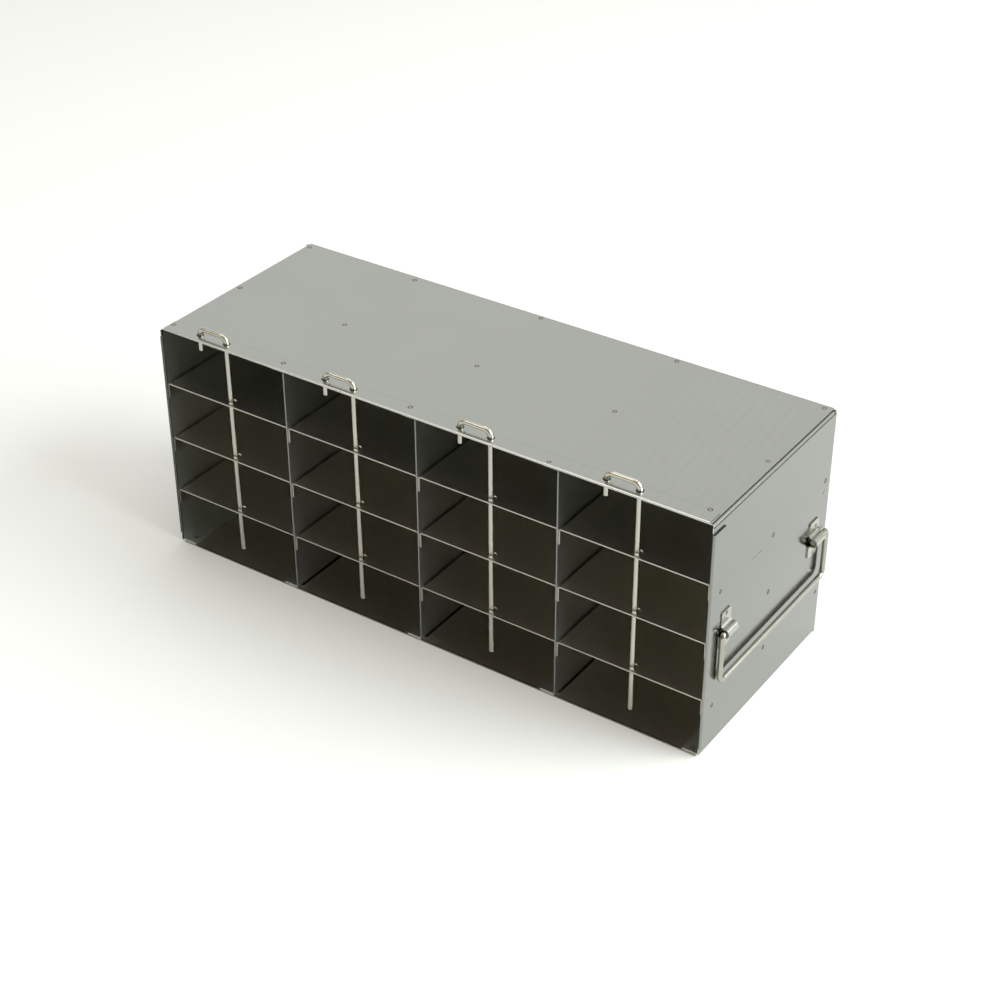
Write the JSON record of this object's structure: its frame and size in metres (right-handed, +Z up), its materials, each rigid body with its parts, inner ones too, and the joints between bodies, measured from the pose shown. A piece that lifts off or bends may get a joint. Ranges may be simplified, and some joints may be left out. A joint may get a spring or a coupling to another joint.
{
  "type": "freezer drawer rack",
  "caption": "Folded stainless rack for an upright freezer: open-fronted cells in columns, each column closed by a lift-out rod, with a swinging bail handle on one end.",
  "frame": {"origin": "centre of the rack's underside", "axes": "+X along the length towards the bail's end, +Y from the open front to the closed back, +Z up"},
  "size_m": [0.382, 0.14, 0.1594],
  "materials": {
    "sheet": "satin rolled stainless sheet, light brushing",
    "wire": "bright drawn stainless wire"
  },
  "bodies": {
    "rack": {"top_panel": "sheet", "bottom_panel": "sheet", "case_wrap": "sheet", "divider_1": "sheet", "divider_2": "sheet", "divider_3": "sheet", "shelf_1_1": "sheet", "shelf_1_2": "sheet", "shelf_1_3": "sheet", "shelf_2_1": "sheet", "shelf_2_2": "sheet", "shelf_2_3": "sheet", "shelf_3_1": "sheet", "shelf_3_2": "sheet", "shelf_3_3": "sheet", "shelf_4_1": "sheet", "shelf_4_2": "sheet", "shelf_4_3": "sheet", "handle_clip_front": "sheet", "handle_clip_rear": "sheet"},
    "bail": {"bail_handle": "wire"},
    "rod_1": {"retaining_rod_1": "wire"},
    "rod_2": {"retaining_rod_2": "wire"},
    "rod_3": {"retaining_rod_3": "wire"},
    "rod_4": {"retaining_rod_4": "wire"}
  },
  "joints": [
    {"name": "rod_1_lift", "type": "slide", "parent": "rack", "child": "rod_1", "axis": [0, 0, 1], "range_m": [0, 0.144]},
    {"name": "rod_2_lift", "type": "slide", "parent": "rack", "child": "rod_2", "axis": [0, 0, 1], "range_m": [0, 0.144]},
    {"name": "rod_3_lift", "type": "slide", "parent": "rack", "child": "rod_3", "axis": [0, 0, 1], "range_m": [0, 0.144]},
    {"name": "rod_4_lift", "type": "slide", "parent": "rack", "child": "rod_4", "axis": [0, 0, 1], "range_m": [0, 0.144]},
    {"name": "bail_swing", "type": "hinge", "parent": "rack", "child": "bail", "pos_m": [0.19055, 0, 0.0766], "axis": [0, -1, 0], "range_deg": [0, 180]}
  ]
}
